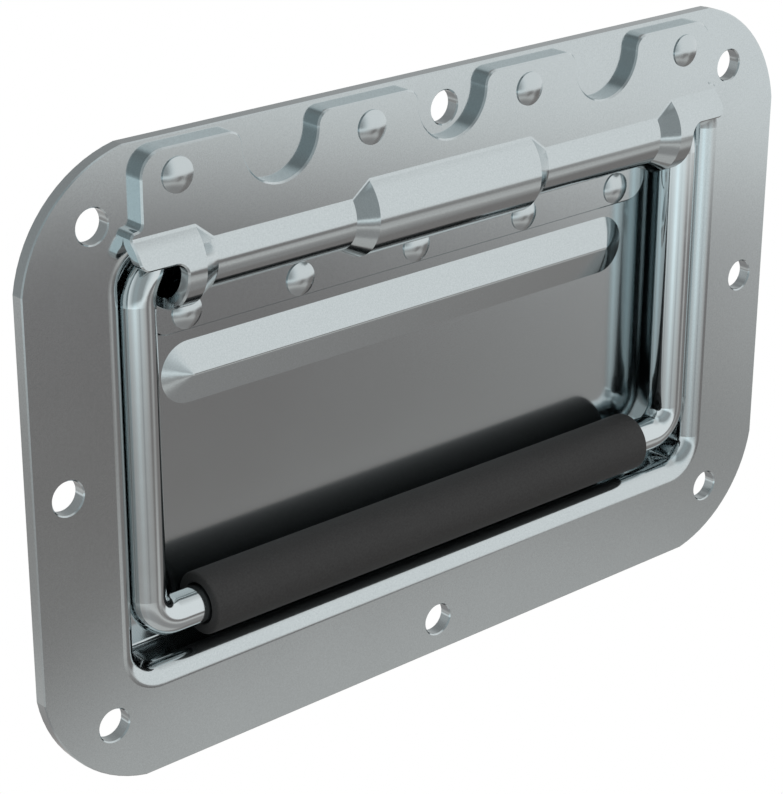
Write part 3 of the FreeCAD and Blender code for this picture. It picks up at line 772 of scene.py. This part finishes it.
def studio_floor(radius, height):
    """A round pale floor, white where the camera sees it."""
    mesh = bpy.data.meshes.new("studio_floor")
    turns = [2 * math.pi * side / FLOOR_SIDES for side in range(FLOOR_SIDES)]
    rim = [(radius * math.cos(t), radius * math.sin(t), height) for t in turns]
    mesh.from_pydata(rim, [], [tuple(range(FLOOR_SIDES))])
    floor = new_piece("studio_floor", mesh)
    material, tree, output = new_material("pale_floor")
    colour = (*linear(FLOOR_COLOUR), 1.0)
    matt = add_node(tree, "ShaderNodeBsdfDiffuse", {"Color": colour})
    glow = add_node(tree, "ShaderNodeEmission", {"Strength": 1.0})
    path = add_node(tree, "ShaderNodeLightPath").outputs
    mixed = add_node(
        tree,
        "ShaderNodeMixShader",
        links={0: path["Is Camera Ray"], 1: matt.outputs[0], 2: glow.outputs[0]},
    )
    tree.links.new(mixed.outputs[0], output.inputs["Surface"])
    mesh.materials.append(material)
    floor.visible_glossy = False


# The studio as the plating mirrors it. Its tones were set until the metal
# looked as it does in the photograph. Each table pairs degrees with a tone or a
# share. Heights count from the horizon, and azimuths from the front, positive to the
# handle's right.
#
# White reaches down to just below the horizon, and a grey band follows, by height.
DEEP_BAND = (
    (-90, "#8D8785"), (-24, "#8C8684"), (-18.8, "#868080"), (-17.7, "#BEBAB8"),
    (-16.6, "#F0EEEC"), (-15.8, "#FFFFFF"),
)
PALE_BAND = (
    (-90, "#AEAAA8"), (-24, "#B0ACAA"), (-21, "#CBC8C6"), (-18, "#D8D5D4"),
    (-16.8, "#F8F7F6"), (-15.8, "#FFFFFF"),
)
# How pale the band is, by azimuth. The narrow dips at -75 and -13 give the bail's
# rods their thin dark lines.
BAND_TURN = (
    (-180, 0.8), (-100, 0.5), (-82, 0.5), (-75, 0.0), (-68, 0.6), (-30, 0.8),
    (-20, 0.75), (-13, 0.0), (-5, 0.75), (20, 0.9), (28, 0.35), (32, 0.0), (38, 0.0),
    (45, 0.35), (48, 0.5), (51, 1.0), (56, 0.7), (66, 0.0), (110, 0.0), (150, 0.4),
    (180, 0.8),
)
# The ground under the band, by height.
GROUND = (
    (-90, "#C8C5C3"), (-64, "#C8C5C3"), (-56, "#A19D9C"), (-43, "#A19D9C"),
    (-38, "#B4B0AE"), (-34, "#D6D3D1"), (-26, "#C8C5C3"),
)
# The ground's edge stands at GROUND_EDGE, rises by up to GROUND_RISE as this table
# says, by azimuth, and is soft over GROUND_BLUR to either side.
GROUND_TURN = (
    (-180, 0.4), (-40, 0.3), (20, 0.3), (31, 0.0), (38, 0.65), (45, 1.0), (52, 0.9),
    (60, 0.3), (120, 0.3), (180, 0.8),
)
GROUND_EDGE = -30.7
GROUND_RISE = 6.0
GROUND_BLUR = 2.0
# How much of the ground shows, by azimuth. On the right the band takes its place.
GROUND_REACH = ((-180, 1.0), (57, 1.0), (67, 0.1), (115, 0.1), (150, 1.0), (180, 1.0))
# A cool lit card, brighter than white, which the left faces of the plates mirror, and
# how strongly it shows by azimuth and by height.
CARD_COLOUR = (1.17, 1.31, 1.35, 1.0)
CARD_TURN = (
    (-180, 0.0), (-110, 0.1), (-95, 0.3), (-62, 0.35), (-50, 0.6), (-42, 0.9),
    (-33, 0.9), (-24, 0.5), (4, 0.35), (20, 0.0), (180, 0.0),
)
CARD_HEIGHT = ((-90, 0.05), (-27, 0.1), (-22, 0.35), (-19, 1.0), (90, 1.0))
# The ceiling is dimmer in the middle, by height.
OVERHEAD = ((-90, 1.0), (38, 1.0), (45, 0.93), (56, 0.72), (90, 0.72))
# The walls' light by azimuth. The side where the camera stands and the back are dim.
# The walls begin and end softly, each between two heights.
WALLS_BOTTOM = (-16.0, -9.0)
WALLS_TOP = (65.0, 48.0)
WALLS_TURN = (
    (-180, 0.35), (-140, 0.35), (-100, 0.9), (-70, 0.8), (-50, 0.36), (-5, 0.34),
    (12, 0.9), (20, 1.0), (100, 1.0), (125, 0.6), (145, 0.38), (180, 0.35),
)
# The strength of the white light on what doesn't mirror.
SOFT_STRENGTH = 0.7
WHITE = (1.0, 1.0, 1.0, 1.0)


def studio_world(scene):
    """White behind the handle, and a soft studio in what the metal mirrors."""
    world = bpy.data.worlds.new("studio")
    world.use_nodes = True
    scene.world = world
    tree = world.node_tree
    tree.nodes.clear()
    output = add_node(tree, "ShaderNodeOutputWorld")
    direction = add_node(tree, "ShaderNodeTexCoord").outputs["Generated"]
    axes = add_node(tree, "ShaderNodeSeparateXYZ", links={0: direction}).outputs
    height = calculate(tree, "ARCSINE", axes["Z"])
    ahead = calculate(tree, "MULTIPLY", axes["Y"], -1.0)
    azimuth = calculate(tree, "ARCTAN2", axes["X"], ahead)

    def smooth_step(angle, start, end):
        """A share that grows from one number of degrees to another."""
        return add_node(
            tree,
            "ShaderNodeMapRange",
            {
                "interpolation_type": "SMOOTHSTEP",
                "From Min": math.radians(start),
                "From Max": math.radians(end),
            },
            {"Value": angle},
        ).outputs["Result"]

    def ramp(angle, half_range, stops):
        """A colour ramp over an angle, from stops in degrees."""
        limit = math.radians(half_range)
        share = add_node(
            tree,
            "ShaderNodeMapRange",
            {"From Min": -limit, "From Max": limit},
            {"Value": angle},
        ).outputs["Result"]
        made = add_node(tree, "ShaderNodeValToRGB", links={0: share})
        elements = made.color_ramp.elements
        while len(elements) < len(stops):
            elements.new(0.5)
        for element, (degrees, tone) in zip(elements, stops):
            element.position = (degrees + half_range) / (2 * half_range)
            grey = linear(tone) if isinstance(tone, str) else (tone, tone, tone)
            element.color = (*grey, 1.0)
        return made.outputs["Color"]

    def by_azimuth(stops):
        return ramp(azimuth, 180, stops)

    def by_height(stops):
        return ramp(height, 90, stops)

    def blended(share, first, second, blend_type="MIX"):
        """One tone over another, by a share."""
        sockets, values = sockets_and_values(
            {MIX_SHARE: share, MIX_FIRST: first, MIX_SECOND: second}
        )
        settings = {"data_type": "RGBA", "blend_type": blend_type, **values}
        return add_node(tree, "ShaderNodeMix", settings, sockets).outputs[MIX_RESULT]

    band = blended(by_azimuth(BAND_TURN), by_height(DEEP_BAND), by_height(PALE_BAND))
    rise = calculate(
        tree, "MULTIPLY", by_azimuth(GROUND_TURN), math.radians(GROUND_RISE)
    )
    below_edge = smooth_step(
        calculate(tree, "SUBTRACT", height, rise),
        GROUND_EDGE + GROUND_BLUR,
        GROUND_EDGE - GROUND_BLUR,
    )
    on_ground = calculate(tree, "MULTIPLY", below_edge, by_azimuth(GROUND_REACH))
    ground = blended(on_ground, band, by_height(GROUND))
    on_card = calculate(tree, "MULTIPLY", by_azimuth(CARD_TURN), by_height(CARD_HEIGHT))
    low = blended(on_card, ground, CARD_COLOUR)
    on_walls = calculate(
        tree,
        "MULTIPLY",
        smooth_step(height, *WALLS_BOTTOM),
        smooth_step(height, *WALLS_TOP),
    )
    round_about = blended(on_walls, low, by_azimuth(WALLS_TURN), "MULTIPLY")
    mirrored_light = blended(1.0, round_about, by_height(OVERHEAD), "MULTIPLY")

    def background(settings, links=None):
        return add_node(tree, "ShaderNodeBackground", settings, links).outputs[0]

    path = add_node(tree, "ShaderNodeLightPath").outputs
    not_seen = add_node(
        tree,
        "ShaderNodeMixShader",
        links={
            0: path["Is Glossy Ray"],
            1: background({"Color": WHITE, "Strength": SOFT_STRENGTH}),
            2: background({"Strength": 1.0}, {"Color": mirrored_light}),
        },
    )
    seen = calculate(
        tree, "MAXIMUM", path["Is Camera Ray"], path["Is Transmission Ray"]
    )
    mixed = add_node(
        tree,
        "ShaderNodeMixShader",
        links={
            0: seen,
            1: not_seen.outputs[0],
            2: background({"Color": WHITE, "Strength": 1.0}),
        },
    )
    tree.links.new(mixed.outputs[0], output.inputs["Surface"])


def direction_from(azimuth, height):
    """The unit vector towards an azimuth from the front and a height, in degrees."""
    a, e = math.radians(azimuth), math.radians(height)
    return Vector((math.sin(a) * math.cos(e), -math.cos(a) * math.cos(e), math.sin(e)))


def soft_lamp(name, azimuth, height, power, width):
    """A square soft lamp that points at the handle."""
    lamp = bpy.data.lights.new(name, "AREA")
    lamp.energy = power
    lamp.size = width
    holder = bpy.data.objects.new(name, lamp)
    bpy.context.scene.collection.objects.link(holder)
    back = direction_from(azimuth, height)
    holder.location = back * LAMP_DISTANCE
    holder.rotation_mode = "QUATERNION"
    holder.rotation_quaternion = (-back).to_track_quat("-Z", "Y")
    holder.visible_glossy = False


def studio_camera(scene):
    """The camera at the photograph's place, turn and lens."""
    lens = bpy.data.cameras.new("camera")
    lens.lens = CAMERA_LENS
    lens.sensor_width = CAMERA_SENSOR
    lens.clip_start = CAMERA_NEAR
    camera = bpy.data.objects.new("camera", lens)
    scene.collection.objects.link(camera)
    back = direction_from(CAMERA_AZIMUTH, CAMERA_HEIGHT)
    level = (-back).cross(Vector((0, 0, 1))).normalized()
    upright = level.cross(-back)
    roll = math.radians(CAMERA_ROLL)
    right = math.cos(roll) * level + math.sin(roll) * upright
    up = math.cos(roll) * upright - math.sin(roll) * level
    turn = Matrix((right, up, back)).transposed().to_4x4()
    camera.matrix_world = Matrix.Translation(CAMERA_PLACE) @ turn
    scene.camera = camera


# ------------------------------------------------------------------- panel

class HANDLE_PT_builder(bpy.types.Panel):
    """Sizes, colours and steps of the handle"""

    bl_idname = "HANDLE_PT_builder"
    bl_label = "Recessed chest handle"
    bl_space_type = "VIEW_3D"
    bl_region_type = "UI"
    bl_category = "Handle"

    def draw(self, context):
        scene = context.scene
        for group_name in GROUPS:
            group = getattr(scene, group_name)
            box = self.layout.box()
            box.label(text=group.bl_rna.description)
            for name in group.__annotations__:
                box.prop(group, name)
        for operator in OPERATORS:
            self.layout.operator(operator.bl_idname)


GROUPS = {
    "handle_finishes": HandleFinishes,
    "handle_grip": GripSizes,
    "handle_rivets": RivetSizes,
    "handle_springs": SpringSizes,
    "handle_studio": StudioSizes,
}
OPERATORS = (
    HANDLE_OT_pressed_steel,
    HANDLE_OT_bail,
    HANDLE_OT_springs,
    HANDLE_OT_grip,
    HANDLE_OT_rivets,
    HANDLE_OT_studio,
)


def register():
    for group_name, group in GROUPS.items():
        bpy.utils.register_class(group)
        setattr(bpy.types.Scene, group_name, bpy.props.PointerProperty(type=group))
    for made in (*OPERATORS, HANDLE_PT_builder):
        bpy.utils.register_class(made)


def unregister():
    for made in (HANDLE_PT_builder, *reversed(OPERATORS)):
        bpy.utils.unregister_class(made)
    for group_name, group in GROUPS.items():
        delattr(bpy.types.Scene, group_name)
        bpy.utils.unregister_class(group)


def main():
    """Registers the add-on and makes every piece."""
    register()
    for operator in OPERATORS:
        group, name = operator.bl_idname.split(".")
        getattr(getattr(bpy.ops, group), name)()


if __name__ == "__main__":
    main()
